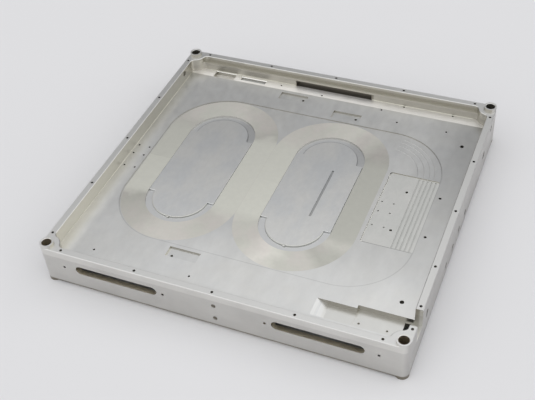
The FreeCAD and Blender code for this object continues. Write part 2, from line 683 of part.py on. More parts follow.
def spreader(label, x, slit):
    """A heat spreader plate, butted to the left in its seat. Its round ends leave a moat."""
    body = new_body(label)
    plate = new_sketch(body, label + "_plate", f"{SKIM} - inlay_depth")
    spreader_outline(plate, f"({x} - fit_gap / 2)", "(cover_inner - fit_gap / 2)", SPREADER_END)
    pad(body, plate, "inlay_depth")
    chamfer(body, "spreader_edge", lambda edge: lies_at(edge, number(SKIM)))
    if slit:
        cut(body, "slit", SKIM, "slit_depth", [
            (stadium, (f"({x} + slit_x)", "0", "(slit_half - slit_width / 2)", "slit_width / 2"))])
    return body


def grooved_pad():
    """The pad with grooves along its right half, butted to the right and to the back."""
    body = new_body("grooved_pad")
    top = f"({SKIM} - pad_sink)"
    slab = new_sketch(body, "slab", f"{top} - inlay_depth")
    left = f"{PAD_LEFT} + fit_gap"
    rounded_rectangle(slab, left, SKIM_RIGHT, "fit_gap - pad_half", "pad_half", "pad_corner")
    pad(body, slab, "inlay_depth")
    half, first = "(pad_half - groove_margin)", off("pad", "groove_first")
    groove = cut(body, "groove", top, "groove_depth", [
        (rectangle, (f"{first} - groove_width / 2", f"{first} + groove_width / 2", f"-{half}", half))])
    row(body, [groove], "X_Axis", "groove_pitch", GROOVES)
    cut(body, "pad_taps", top, "inlay_depth",
        [(circle, (*place, "pad_tap")) for place in places(PAD_TAPS)])
    cut(body, "pad_screws", top, "inlay_depth",
        [(circle, (off("pad", "screw_x"), f"{side} * screw_y", "screw_tap")) for side in SIGNS])
    return body


def main():
    bodies = [
        base_tray(),
        channel_cover("left_channel_cover", "loop_left"),
        channel_cover("right_channel_cover", LOOP_RIGHT),
        spreader("left_spreader", "loop_left", False),
        spreader("right_spreader", LOOP_RIGHT, True),
        grooved_pad(),
    ]
    DOC.recompute()
    bad = [o.Name for o in DOC.Objects if "Invalid" in o.State or "Error" in o.State]
    if bad:
        raise RuntimeError(f"not built: {bad}")
    os.makedirs("parts", exist_ok=True)
    for body in bodies:
        shape = body.Shape
        if shape.isNull() or not shape.isValid() or len(shape.Solids) != 1:
            raise RuntimeError(f"{body.Label} is not one valid solid")
        shape.exportStep(f"parts/{body.Label}.step")


main()
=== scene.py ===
# %% [markdown]
# # A liquid cooling cold plate
# The plate is one machined block of aluminium. On top it has a tray with a rim, and in the
# tray's floor two race-track channels are closed by welded cover strips. Two heat spreaders
# and a grooved pad are let into the floor. All the forms come from the CAD model, so most of
# the work here is in the finishes: how each cutter left its metal.

# %% Load the frame and remember its size
import math

import bmesh
import bpy
from mathutils import Matrix, Vector


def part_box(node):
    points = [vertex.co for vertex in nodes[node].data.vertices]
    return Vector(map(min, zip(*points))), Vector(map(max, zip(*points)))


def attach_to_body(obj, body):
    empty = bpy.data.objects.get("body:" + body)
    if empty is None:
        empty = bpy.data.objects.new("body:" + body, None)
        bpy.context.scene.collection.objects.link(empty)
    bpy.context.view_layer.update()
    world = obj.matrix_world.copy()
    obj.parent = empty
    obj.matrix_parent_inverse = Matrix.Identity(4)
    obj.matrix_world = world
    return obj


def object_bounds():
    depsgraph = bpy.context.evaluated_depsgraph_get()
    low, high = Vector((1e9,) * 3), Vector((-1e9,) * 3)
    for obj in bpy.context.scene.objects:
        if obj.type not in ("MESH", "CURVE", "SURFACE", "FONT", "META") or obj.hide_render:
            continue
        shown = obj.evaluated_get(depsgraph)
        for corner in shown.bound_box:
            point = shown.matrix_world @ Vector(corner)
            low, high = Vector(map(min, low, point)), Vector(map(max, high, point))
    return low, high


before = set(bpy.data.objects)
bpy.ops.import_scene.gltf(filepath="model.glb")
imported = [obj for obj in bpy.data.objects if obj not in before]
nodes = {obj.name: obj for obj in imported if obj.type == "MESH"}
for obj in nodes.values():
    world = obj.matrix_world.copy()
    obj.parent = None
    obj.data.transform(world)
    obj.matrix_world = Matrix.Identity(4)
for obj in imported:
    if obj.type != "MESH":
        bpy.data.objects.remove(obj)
cad_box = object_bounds()
print("CAD nodes:", sorted(nodes))

# %% [markdown]
# Finishes are placed by where the metal is, so the levels of the plate are read from the
# frame first. They are kept in millimetres, which are easier to read than metres. The covers
# lie flush with the skimmed floor, and their outline gives the middle, the end radius and the
# straight stretch of each loop.

# %% Levels and places read from the frame
MM = 0.001


def box_in_mm(name):
    """The two corners of a CAD node's box."""
    return [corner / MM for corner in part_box(name)]


low, high = [corner / MM for corner in cad_box]
cover_low, cover_high = box_in_mm("left_channel_cover")
right_low, right_high = box_in_mm("right_channel_cover")
pad_low, pad_high = box_in_mm("grooved_pad")

SKIM = cover_high.z          # the floor around the loops
FLOOR = SKIM + 0.8           # the rest of the floor
RIM = high.z - 3.5           # the posts stand a little above the rim
WALL = 8.5                   # how thick the outer walls are
RAIL = 4.7                   # a rail makes the front and back walls thicker low down
POST_INSET = 8.0             # from a post's axis to the outer faces
BORE_REACH = 6.2             # everything this near to a post's axis is its bore
LOOPS = [(cover_low.x + cover_high.x) / 2, (right_low.x + right_high.x) / 2]
COVER_OUTER = (cover_high.x - cover_low.x) / 2
LOOP_STRAIGHT = cover_high.y - COVER_OUTER
SEAM = (cover_high.x + right_low.x) / 2
SKIM_MARGIN = 1.3            # the skim reaches this far past the covers
print("skimmed floor at", round(SKIM, 2), "mm, loops at", [round(x, 1) for x in LOOPS])

# %% [markdown]
# A shader is easier to read as a sum than as a drawing of wires. The first helper adds one
# node, sets it up, and feeds its inputs with plain values or with the outputs of other nodes.
# The others are one step each. A mask is a number that is 1 where a finish lies and 0
# elsewhere, so masks are multiplied to find where they overlap.

# %% Helpers for numbers and masks
def wire(tree, kind, inputs=(), **settings):
    """Adds a node, sets it up, and feeds its inputs."""
    made = tree.nodes.new(kind)
    for name, value in settings.items():
        setattr(made, name, value)
    for place, value in dict(inputs).items():
        if isinstance(value, bpy.types.NodeSocket):
            tree.links.new(value, made.inputs[place])
        else:
            made.inputs[place].default_value = value
    return made


def calc(tree, operation, *values):
    """The result of one Math node."""
    return wire(tree, "ShaderNodeMath", enumerate(values), operation=operation).outputs[0]


def ramp(tree, value, start, stop, first, last):
    """Goes straight from first to last while the value goes from start to stop."""
    sockets = {0: value, 1: start, 2: stop, 3: first, 4: last}
    return wire(tree, "ShaderNodeMapRange", sockets).outputs[0]


def fade(tree, value, start, stop):
    """0 before start, 1 after stop, and smooth between. Start may be the larger."""
    sockets = {0: value, 1: start, 2: stop}
    return wire(tree, "ShaderNodeMapRange", sockets, interpolation_type="SMOOTHSTEP").outputs[0]


def overlap(tree, first, *others):
    """1 only where all the masks are 1."""
    for other in others:
        first = calc(tree, "MULTIPLY", first, other)
    return first


def between(tree, value, rise, fall):
    """1 between two soft edges. Each edge is a pair: where the mask is 0, and where it is 1."""
    return overlap(tree, fade(tree, value, *rise), fade(tree, value, *fall))


def away(tree, value, centre=0.0):
    """How far a value is from a centre, without a sign."""
    return calc(tree, "ABSOLUTE", calc(tree, "SUBTRACT", value, centre))


def length(tree, *sides):
    """The length of a line, from its sides along the axes."""
    line = wire(tree, "ShaderNodeCombineXYZ", enumerate(sides)).outputs[0]
    return wire(tree, "ShaderNodeVectorMath", {0: line}, operation="LENGTH").outputs["Value"]


# %% Helpers for colours
def tint(tree, factor, first, second, how="MIX"):
    """Two colours mixed by a factor."""
    sockets = {0: factor, 6: first, 7: second}
    return wire(tree, "ShaderNodeMix", sockets, data_type="RGBA", blend_type=how).outputs[2]


def shade(tree, colour, strength):
    """A colour made lighter or darker by a number."""
    grey = wire(tree, "ShaderNodeCombineColor", {0: strength, 1: strength, 2: strength}).outputs[0]
    return tint(tree, 1.0, colour, grey, "MULTIPLY")


def dimmed(tree, colour, mask, amount):
    """A colour darkened by an amount where a mask is 1. A negative amount brightens it."""
    return shade(tree, colour, calc(tree, "SUBTRACT", 1.0, calc(tree, "MULTIPLY", mask, amount)))


# %% Helpers for uneven patterns
def cloud(tree, place, size, detail=3.0, rough=0.55):
    """Soft noise from 0 to 1. Its lumps have a size along each axis, so a grain can run one way."""
    scale = tuple(1 / s for s in size)
    stretched = wire(tree, "ShaderNodeMapping", {"Vector": place, "Scale": scale}).outputs[0]
    sockets = {"Vector": stretched, "Scale": 1.0, "Detail": detail, "Roughness": rough}
    return wire(tree, "ShaderNodeTexNoise", sockets).outputs[0]


def spread(tree, noise, least, most):
    """Most of a noise lies between 0.3 and 0.7. That part is stretched from least to most."""
    return ramp(tree, noise, 0.3, 0.7, least, most)


def around(tree, noise, reach):
    """A noise turned into a factor that swings about 1 by the reach."""
    return spread(tree, noise, 1 - reach, 1 + reach)


# %% [markdown]
# Bare aluminium is a metal, so its base colour is the colour of its reflections. Everything
# else is roughness and grain. Each finish starts from the same shader, which also knows where
# each point of the piece is and which way it faces.

# %% A bare metal to start from
class BareMetal:
    """A new metal, with the place of each point in millimetres and the way it faces."""

    def __init__(self, name, roughness):
        self.material = bpy.data.materials.new(name)
        self.material.use_nodes = True
        self.tree = self.material.node_tree
        self.surface = self.tree.nodes["Principled BSDF"]
        self.surface.inputs["Metallic"].default_value = 1.0
        self.surface.inputs["Roughness"].default_value = roughness
        known = wire(self.tree, "ShaderNodeTexCoord").outputs
        sockets = {0: known["Object"], "Scale": 1 / MM}
        self.place = wire(self.tree, "ShaderNodeVectorMath", sockets, operation="SCALE").outputs[0]
        self.x, self.y, self.z = wire(self.tree, "ShaderNodeSeparateXYZ", {0: self.place}).outputs
        self.facing = wire(self.tree, "ShaderNodeSeparateXYZ", {0: known["Normal"]}).outputs

    def finish(self, colour, height, depth):
        """Puts the colour on, presses a height pattern in to a depth, and gives the material."""
        self.tree.links.new(colour, self.surface.inputs["Base Color"])
        sockets = {"Height": height, "Distance": depth * MM, "Strength": 1.0}
        relief = wire(self.tree, "ShaderNodeBump", sockets).outputs[0]
        self.tree.links.new(relief, self.surface.inputs["Normal"])
        return self.material


# %% [markdown]
# The block was milled all over, but not by one tool. The walls were cut by the side of an end
# mill. Their tone carries painted light and shade: the inner walls' warm tone is painted
# reflection, lighter towards the front, darker where they face the front and lighter again high
# up there, and the outside is darker where it faces right. A dark band along the outside's foot
# is a painted shadow. The bores of the posts are warm, with painted light brightest at the front.
# A mask for each of these is made from the height, the place and the direction that the metal
# faces.

# %% The tray's walls
def outer_walls(tray):
    """The outside of the block, with painted shade on the face that turns right and a painted shadow
    along its foot.
    """
    tree = tray.tree
    # painted shade: the outside is darker where it faces right
    right_face_shade = fade(tree, tray.facing[0], 0.2, 0.9)
    tone = tint(tree, right_face_shade, (0.615, 0.605, 0.58, 1), (0.53, 0.52, 0.505, 1))
    mottle = cloud(tree, tray.place, (45, 45, 30), 4.0)
    tone = shade(tree, tone, around(tree, mottle, 0.06))
    # painted shadow: a dark band along the foot of the outside
    foot_shadow = fade(tree, tray.z, low.z + 5.6, low.z + 4.2)
    return tint(tree, foot_shadow, tone, (0.24, 0.22, 0.18, 1))


def tray_walls(tray):
    """The colour of everything that stands upright, with painted light and shade."""
    tree, x, y = tray.tree, tray.x, tray.y
    # painted reflection and shade: the inner walls are warm, lighter towards the front and darker
    # towards the back
    side = tint(tree, fade(tree, y, -150, 60), (0.66, 0.635, 0.55, 1), (0.47, 0.455, 0.40, 1))
    to_front = fade(tree, tray.facing[1], -0.5, -0.8)
    # painted shade: walls that face the front are darker
    inner = tint(tree, to_front, side, (0.40, 0.385, 0.345, 1))
    inside = overlap(tree, fade(tree, away(tree, x), high.x - 3, high.x - 5),
                     fade(tree, away(tree, y), high.y - 3, high.y - 5))
    wall = tint(tree, inside, outer_walls(tray), inner)
    # painted light: high up, the walls that face the front are lighter
    upper_light = overlap(tree, fade(tree, tray.z, FLOOR + 8, FLOOR + 10), to_front)
    wall = dimmed(tree, wall, upper_light, -0.16)
    # painted light: the bores are brightest at the front
    lit_bore = tint(tree, fade(tree, y, -50, 50), (0.93, 0.86, 0.74, 1), (0.52, 0.51, 0.47, 1))
    from_axis = length(tree, calc(tree, "SUBTRACT", away(tree, x), high.x - POST_INSET),
                       calc(tree, "SUBTRACT", away(tree, y), high.y - POST_INSET))
    return tint(tree, fade(tree, from_axis, BORE_REACH + 0.4, BORE_REACH), wall, lit_bore)


# %% [markdown]
# The floor is cloudy and cool, with painted shade at the back right and painted light in front
# and at the left. A finer pass ran along the foot of the back wall and left a matt strip with
# fine streaks along it; its pale tone is painted sheen, with painted shade towards the right.
# The rim was faced last and is the cleanest.

# %% The tray's floor
def floor_tone(tray, wear):
    """The open floor: cool and blotchy, with painted shade at the back right and painted light in front
    and at the left.
    """
    tree, place, x, y = tray.tree, tray.place, tray.x, tray.y
    blotches = cloud(tree, place, (60, 45, 60), 4.0, 0.6)
    tone = tint(tree, blotches, (0.60, 0.61, 0.62, 1), (0.63, 0.625, 0.60, 1))
    tone = shade(tree, tone, around(tree, wear, 0.034))
    patches = cloud(tree, place, (26, 70, 26))
    tone = shade(tree, tone, around(tree, patches, 0.04))
    # painted shade: the floor is darker at the back right
    far_corner_shade = overlap(tree, fade(tree, y, -110, 110), fade(tree, x, 130, 205))
    tone = dimmed(tree, tone, far_corner_shade, 0.30)
    # painted light: the floor is lighter in front
    near_side_light = overlap(tree, between(tree, y, (-75, -140), (-194, -180)), fade(tree, x, -300, 40))
    tone = dimmed(tree, tone, near_side_light, -0.15)
    # painted light: the floor is lighter along the left
    left_side_light = overlap(tree, fade(tree, x, -188, -196), fade(tree, y, 90, -30))
    return dimmed(tree, tone, left_side_light, -0.09)


def strip_mask(tray):
    """Where the finer pass ran, along the foot of the back wall."""
    at_back = fade(tray.tree, tray.y, high.y - 29, high.y - 27)
    return overlap(tray.tree, at_back, fade(tray.tree, tray.z, RIM - 5, RIM - 7))


def strip_tone_and_sheen(tray):
    """The metal of the finer pass: pale with painted sheen, and darker at the right with painted shade.
    """
    tree = tray.tree
    # painted sheen and painted shade: pale at the left, darker at the right
    tone = tint(tree, fade(tree, tray.x, 30, 90), (0.98, 0.965, 0.94, 1), (0.84, 0.83, 0.81, 1))
    streaks = cloud(tree, tray.place, (40, 1.2, 40), 2.0)
    return shade(tree, tone, around(tree, streaks, 0.05))


def recess_and_rim(tray, tone):
    """Painted light in the cable recess, and the clean metal of the rim."""
    tree = tray.tree
    # painted light: the cable recess is lighter
    lit_recess = overlap(tree, fade(tree, tray.z, FLOOR - 5, FLOOR - 6), fade(tree, tray.y, -150, -152),
                     fade(tree, tray.x, 100, 110))
    tone = tint(tree, lit_recess, tone, (0.66, 0.66, 0.64, 1))
    return tint(tree, fade(tree, tray.z, RIM - 1, RIM - 0.2), tone, (0.66, 0.66, 0.65, 1))


# %% [markdown]
# Where the floor is skimmed round the loops, a thin line of painted shadow marks the step at its
# edge. That needs the distance from a rounded rectangle. Past the straight sides the distance is
# taken along an axis, and past a corner it is the length of the line to the corner's centre.

# %% Lines and hollows in the floor
def outline_distance(tray, middle, half_x, half_y, radius):
    """How far a place lies from the outline of a rounded rectangle, without a sign."""
    tree = tray.tree
    past = []
    for value, centre, half in ((tray.x, middle, half_x), (tray.y, 0.0, half_y)):
        beyond = calc(tree, "SUBTRACT", away(tree, value, centre), half - radius)
        past.append(calc(tree, "MAXIMUM", beyond, -radius))
    reach = length(tree, *(calc(tree, "MAXIMUM", side, 0.0) for side in past))
    inner = calc(tree, "MINIMUM", calc(tree, "MAXIMUM", *past), 0.0)
    return away(tree, calc(tree, "ADD", reach, inner), radius)


def skim_lines(tray, tone):
    """A painted shadow line along the step round the skim, painted shade in the shallow dishes, and the
    seam where the covers nearly meet.
    """
    tree, z = tray.tree, tray.z
    left, right = cover_low.x - SKIM_MARGIN, pad_high.x
    step = outline_distance(tray, (left + right) / 2, (right - left) / 2,
                            cover_high.y + SKIM_MARGIN, COVER_OUTER + SKIM_MARGIN)
    # painted shadow: a thin dark line along the step
    step = overlap(tree, fade(tree, step, 1.3, 0.3), fade(tree, z, RIM - 8, RIM - 10))
    tone = dimmed(tree, tone, step, 0.17)
    # painted shade: the shallow dishes are darker
    dish_shade = between(tree, z, (FLOOR - 1.6, FLOOR - 2.0), (FLOOR - 2.4, FLOOR - 2.3))
    tone = dimmed(tree, tone, dish_shade, 0.07)
    seam = overlap(tree, fade(tree, away(tree, tray.x, SEAM), 2, 1.5),
                   fade(tree, away(tree, tray.y), LOOP_STRAIGHT + 12, LOOP_STRAIGHT + 4),
                   fade(tree, z, SKIM + 0.3, SKIM + 0.1))
    return tint(tree, seam, tone, (0.72, 0.71, 0.65, 1))


def moats(tray, tone):
    """The sunk ends round the spreaders, with painted shade towards the back and most of all at the
    back right.
    """
    tree, x, y, z = tray.tree, tray.x, tray.y, tray.z
    moat = between(tree, z, (SKIM - 1.5, SKIM - 1.8), (SKIM - 2.4, SKIM - 2.2))
    # painted shade: a darker crescent at the back right of each loop
    crescent_shade = 0.0
    for loop in LOOPS:
        at_right = between(tree, x, (loop + 4, loop + 28), (loop + 46, loop + 45))
        crescent_shade = calc(tree, "MAXIMUM", crescent_shade, at_right)
    crescent_shade = overlap(tree, crescent_shade, fade(tree, y, 50, 70))
    # painted shade: the sunk ends darken towards the back
    shaded_moat = shade(tree, (0.605, 0.612, 0.615, 1), ramp(tree, y, -95, 95, 1.06, 0.97))
    return tint(tree, moat, tone, dimmed(tree, shaded_moat, crescent_shade, 0.20))


# %% [markdown]
# Little light gets into the slots in front, so the metal inside them is painted warm and
# bright to show at all. The inside of the window is painted nearly black, as painted shade. The
# narrow gap beside the pad is painted bright, as painted light.

# %% The openings
def openings(tray, tone, flat):
    """Painted light in the slots and in the gap beside the pad, and painted shade in the window."""
    tree, x, y, z = tray.tree, tray.x, tray.y, tray.z
    slots = overlap(tree, between(tree, y, (low.y + 0.3, low.y + 0.6), (low.y + 13, low.y + 12)),
                    fade(tree, away(tree, x), 188, 186), fade(tree, z, FLOOR - 1, FLOOR - 2))
    inside = tint(tree, flat, (0.74, 0.655, 0.51, 1), (0.97, 0.92, 0.80, 1))
    tone = tint(tree, slots, tone, inside)
    # painted shade: the window's inside is nearly black
    window_shade = overlap(tree, between(tree, y, (high.y - 13.6, high.y - 13), (high.y - 0.1, high.y - 0.4)),
                     fade(tree, away(tree, x), 57, 56), fade(tree, z, RIM - 9.6, RIM - 10.2))
    tone = tint(tree, window_shade, tone, (0.16, 0.145, 0.12, 1))
    # painted light: the gap beside the pad is bright
    lit_gap = overlap(tree, between(tree, x, (pad_low.x + 0.3, pad_low.x + 0.1),
                                (pad_low.x - 1.0, pad_low.x - 0.9)),
                  fade(tree, z, SKIM - 0.2, SKIM - 0.4), fade(tree, away(tree, y), 66, 65))
    return tint(tree, lit_gap, tone, (0.96, 0.95, 0.92, 1))


# %% The tray's finish put together
def tray_finish():
    """Floor, strip, rim and hollows on what lies flat, the walls' tone on what stands."""
    tray = BareMetal("milled_tray", 0.34)
    tree = tray.tree
    wear = cloud(tree, tray.place, (9, 16, 9), 4.0, 0.6)
    strip = strip_mask(tray)
    tone = tint(tree, strip, floor_tone(tray, wear), strip_tone_and_sheen(tray))
    for later_pass in (recess_and_rim, skim_lines, moats):
        tone = later_pass(tray, tone)
    # painted light and shade: the rail's top is painted in the walls' tone
    rail_top = between(tree, tray.z, (FLOOR + 3, FLOOR + 4), (RIM - 2, RIM - 3))
    flat = fade(tree, away(tree, tray.facing[2]), 0.4, 0.8)
    flat = overlap(tree, flat, calc(tree, "SUBTRACT", 1.0, rail_top))
    tone = tint(tree, flat, tray_walls(tray), tone)
    tone = openings(tray, tone, flat)
    dull = calc(tree, "ADD", spread(tree, wear, 0.30, 0.37), calc(tree, "MULTIPLY", strip, 0.16))
    tree.links.new(dull, tray.surface.inputs["Roughness"])
    fine = cloud(tree, tray.place, (0.8, 0.8, 0.8), 2.0)
    return tray.finish(tone, fine, 0.004)


tray_metal = tray_finish()
print("the tray's finish has", len(tray_metal.node_tree.nodes), "nodes")

# %% [markdown]
# A cover strip was welded in and faced by a cutter that went round the loop. Its marks cross
# the strip, so the sheen changes along the path and not across it: round each end it sweeps
# like the marks on a disc, and it jumps where the cutter turned into a straight. That sheen is
# painted into the colour, as a painted highlight listed by the angle about the end's middle. On
# the straights that angle is 0 or 180 degrees.

# %% The covers' painted sheen by angle
PAINTED_SHEEN = {
    "left_channel_cover": (
        (-180, 1.20), (-174, 1.13), (-165, 0.86), (-140, 0.93), (-120, 0.98), (-100, 1.10), (-80, 1.15),
        (-60, 1.12), (-40, 1.03), (-20, 1.03), (-6, 1.15), (0, 1.20), (6, 1.16), (18, 0.93), (40, 1.03),
        (60, 1.12), (80, 1.27), (120, 1.25), (140, 1.19), (160, 1.07), (172, 1.09), (180, 1.12)),
    "right_channel_cover": (
        (-180, 1.22), (-165, 1.05), (-140, 1.04), (-120, 1.15), (-100, 1.30), (-84, 1.06), (-60, 1.05),
        (-40, 0.86), (-20, 1.05), (-6, 0.92), (0, 0.90), (20, 0.80), (40, 0.93), (60, 1.07), (80, 1.24),
        (100, 1.20), (120, 1.12), (160, 1.14), (180, 1.20)),
}


def painted_sheen_at(tree, turned, stops):
    """The painted sheen at a part of a full turn. The ramp holds half of each tone, so none is over 1.
    """
    made = tree.nodes.new("ShaderNodeValToRGB")
    tree.links.new(turned, made.inputs[0])
    elements = made.color_ramp.elements
    while len(elements) < len(stops):
        elements.new(0.5)
    for element, (degrees, tone) in zip(elements, stops):
        element.position = (degrees + 180) / 360
        element.color = (tone / 2, tone / 2, tone / 2, 1)
    return calc(tree, "MULTIPLY", made.outputs["Color"], 2.0)


print("tones listed:", {name: len(stops) for name, stops in PAINTED_SHEEN.items()})


# %% The covers' finish
MARK_SPACING = 1.1           # between two of the cutter's marks, along a straight
MARKS_PER_RADIAN = 55.0      # round an end, which gives about the same spacing


def past_straight(tree, y):
    """How far a place lies past the straight stretch of a loop, or 0 on it."""
    return calc(tree, "MAXIMUM", calc(tree, "SUBTRACT", away(tree, y), LOOP_STRAIGHT), 0.0)


def cover_finish(name, middle):
    """Bare metal with a painted sheen that follows the path round one loop."""
    cover = BareMetal(name + "_painted_sheen", 0.34)
    tree, place, y = cover.tree, cover.place, cover.y
    past = past_straight(tree, y)
    outwards = calc(tree, "MULTIPLY", past, calc(tree, "SIGN", y))
    angle = calc(tree, "ARCTAN2", outwards, calc(tree, "SUBTRACT", cover.x, middle))
    waver = spread(tree, cloud(tree, place, (35, 35, 35)), -0.03, 0.03)
    waver = overlap(tree, waver, fade(tree, past, 0, 20))
    turned = calc(tree, "ADD", ramp(tree, angle, -math.pi, math.pi, 0.0, 1.0), waver)
    # painted sheen: the tone by angle round the loop, from the listed stops
    tone = painted_sheen_at(tree, turned, PAINTED_SHEEN[name])
    warmth = fade(tree, cloud(tree, place, (30, 40, 30)), 0.3, 0.7)
    warmth = overlap(tree, warmth, fade(tree, past, 0, 30))
    metal = tint(tree, warmth, (0.625, 0.625, 0.57, 1), (0.655, 0.625, 0.59, 1))
    speckle = cloud(tree, place, (6, 6, 6), 4.0)
    metal = shade(tree, metal, calc(tree, "MULTIPLY", tone, around(tree, speckle, 0.02)))
    metal = tint(tree, fade(tree, cover.facing[2], 0.4, 0.8), (0.56, 0.55, 0.52, 1), metal)
    straight = calc(tree, "MINIMUM", calc(tree, "MAXIMUM", y, -LOOP_STRAIGHT), LOOP_STRAIGHT)
    marks = wire(tree, "ShaderNodeCombineXYZ", {
        0: calc(tree, "MULTIPLY", angle, MARKS_PER_RADIAN),
        1: calc(tree, "DIVIDE", straight, MARK_SPACING)}).outputs[0]
    return cover.finish(metal, cloud(tree, marks, (1, 1, 1), 1.0), 0.010)


# %% [markdown]
# The spreaders are plates of their own, and their metal is cooler than the block's. They
# were lapped and then handled, so large soft stains lie on a fine, even grain. On top of that
# they carry painted light and shade. The pad has the same grain, with painted shade in its
# grooves and a painted shadow line along its front.

# %% The finish of the plates and the pad
def plate_finish(name, cool, warm, lump, roughness, edges=None):
    """An even grain under soft stains. The helper for painted light and shade may change the colour by
    place.
    """
    plate = BareMetal(name, roughness)
    tree = plate.tree
    stains = cloud(tree, plate.place, (lump, lump * 1.6, lump), 4.0, 0.6)
    metal = tint(tree, fade(tree, stains, 0.35, 0.65), cool, warm)
    handling = cloud(tree, plate.place, (5, 9, 5), 4.0, 0.6)
    metal = shade(tree, metal, around(tree, handling, 0.03))
    if edges:
        metal = edges(plate, metal)
    return plate.finish(metal, cloud(tree, plate.place, (0.5, 4, 0.5), 2.0), 0.005)


def spreader_light_and_shade(middle):
    """Painted light and shade on a plate: lighter towards the front, with a painted highlight where its
    rounded edge turns to the front and painted shade at the back of that edge and on its sunk parts.
    """
    def shaded(plate, metal):
        tree, y = plate.tree, plate.y
        # painted light: the plate is lighter towards the front
        metal = shade(tree, metal, ramp(tree, y, -100, 70, 1.16, 1.01))
        past = past_straight(tree, y)
        reach = length(tree, calc(tree, "SUBTRACT", plate.x, middle), past)
        # painted highlight on the front of the rounded edge, painted shade on its back
        painted_edge_band = overlap(tree, fade(tree, reach, 34.6, 35.5), fade(tree, past, 0, 3))
        edge_highlight_and_shade = tint(tree, fade(tree, y, 0, -1), (0.36, 0.365, 0.37, 1), (0.64, 0.64, 0.61, 1))
        metal = tint(tree, painted_edge_band, metal, edge_highlight_and_shade)
        # painted shade: the plate's sunk parts are darker
        return dimmed(tree, metal, fade(tree, plate.z, SKIM - 0.8, SKIM - 1.1), 0.38)
    return shaded


def pad_painted_shade(pad, metal):
    """Painted shade in the pad's grooves, and a painted shadow line along its front."""
    tree = pad.tree
    # painted shade: the grooves are darker than the top
    metal = dimmed(tree, metal, fade(tree, pad.z, pad_high.z - 0.3, pad_high.z - 0.8), 0.14)
    # painted shadow: a dark line along the front
    return dimmed(tree, metal, fade(tree, pad.y, pad_low.y + 1.3, pad_low.y + 0.5), 0.45)


# %% Give each CAD node its finish
def dress(name, material):
    """Puts one material on all the slots of a CAD node."""
    mesh = nodes[name].data
    if not mesh.materials:
        mesh.materials.append(material)
    for slot in range(len(mesh.materials)):
        mesh.materials[slot] = material
    print(name, "wears", material.name)


SPREADER_SHIFT = -0.4        # the spreaders sit this far left of their loop's middle
dress("base_tray", tray_metal)
for loop, side in zip(LOOPS, ("left", "right")):
    dress(side + "_channel_cover", cover_finish(side + "_channel_cover", loop))
    dress(side + "_spreader", plate_finish(
        side + "_lapped_plate", (0.562, 0.572, 0.578, 1), (0.612, 0.612, 0.60, 1), 38, 0.33,
        spreader_light_and_shade(loop + SPREADER_SHIFT)))
dress("grooved_pad", plate_finish(
    "milled_pad", (0.625, 0.63, 0.61, 1), (0.66, 0.66, 0.64, 1), 30, 0.36, pad_painted_shade))

# %% [markdown]
# ## The foot of the walls
# The cutter's tip was slightly rounded, so the walls don't meet the floor in a sharp corner.
# The small hollow round is a thin warm line from far away. Its section is a corner with an
# arc across it, and an extrusion carries that along the wall. It stops short of the window,
# the recess and the lands at the corners.

# %% Helpers for new pieces
def at(x, y, z):
    """A point given in millimetres."""
    return Vector((x, y, z)) * MM


def new_piece(name, shape, material):
    """An object made from a bmesh."""
    mesh = bpy.data.meshes.new(name)
    shape.to_mesh(mesh)
    shape.free()
    mesh.materials.append(material)
    piece = bpy.data.objects.new(name, mesh)
    bpy.context.scene.collection.objects.link(piece)
    return piece


def attach(piece):
    """Makes a piece part of the tray."""
    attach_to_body(piece, "root")
    print("added", piece.name)


# %% A hollow round along each wall
FOOT = 0.9 * MM              # the round's radius, in metres as the meshes are
FOOT_STEPS = 6
foot_metal = plate_finish("bright_foot", (0.52, 0.51, 0.45, 1), (0.60, 0.59, 0.52, 1), 40, 0.36)


def foot(name, start, end, inward):
    """A hollow round on the floor from start to end, with its back to a wall."""
    section = [start]
    for step in range(FOOT_STEPS + 1):
        angle = math.radians(90) * step / FOOT_STEPS
        off_wall, off_floor = FOOT * (1 - math.sin(angle)), FOOT * (1 - math.cos(angle))
        section.append(start + Vector(inward) * off_wall + Vector((0, 0, off_floor)))
    shape = bmesh.new()
    face = shape.faces.new([shape.verts.new(corner) for corner in section])
    carried = bmesh.ops.extrude_face_region(shape, geom=[face])["geom"]
    moved = [item for item in carried if isinstance(item, bmesh.types.BMVert)]
    bmesh.ops.translate(shape, verts=moved, vec=end - start)
    bmesh.ops.recalc_face_normals(shape, faces=shape.faces)
    attach(new_piece(name, shape, foot_metal))


# %% Five rounds, one for each clear stretch of wall
WALL_X, WALL_Y = high.x - WALL, high.y - WALL - RAIL
LAND_X, LAND_Y = 193, 180    # just short of the lands at the corners
BEHIND_RECESS = -153         # just behind the cable recess
BESIDE_WINDOW = (-57, 55)    # just outside the window's two sides
foot("foot_left", at(-WALL_X, -LAND_Y, FLOOR), at(-WALL_X, LAND_Y, FLOOR), (1, 0, 0))
foot("foot_right", at(WALL_X, BEHIND_RECESS, FLOOR), at(WALL_X, LAND_Y, FLOOR), (-1, 0, 0))
foot("foot_front", at(-LAND_X, -WALL_Y, FLOOR), at(LAND_X, -WALL_Y, FLOOR), (0, 1, 0))
foot("foot_back_left", at(-LAND_X, WALL_Y, FLOOR), at(BESIDE_WINDOW[0], WALL_Y, FLOOR), (0, -1, 0))
foot("foot_back_right", at(BESIDE_WINDOW[1], WALL_Y, FLOOR), at(LAND_X, WALL_Y, FLOOR), (0, -1, 0))

# %% [markdown]
# ## Threads
# The coolant ports and the two holes in the middle of the front wall are tapped. A thread is
# a small triangle carried round a circle while it moves along the axis, which is just what
# the spin operator does when it is given a step as well as an angle.

# %% A thread as a spun triangle
TURN_STEPS = 20
# painted shade: the thread's metal is nearly black, for the shade inside the holes
shaded_thread_metal = plate_finish("shaded_cut_thread", (0.20, 0.185, 0.16, 1), (0.27, 0.25, 0.22, 1), 6, 0.5)


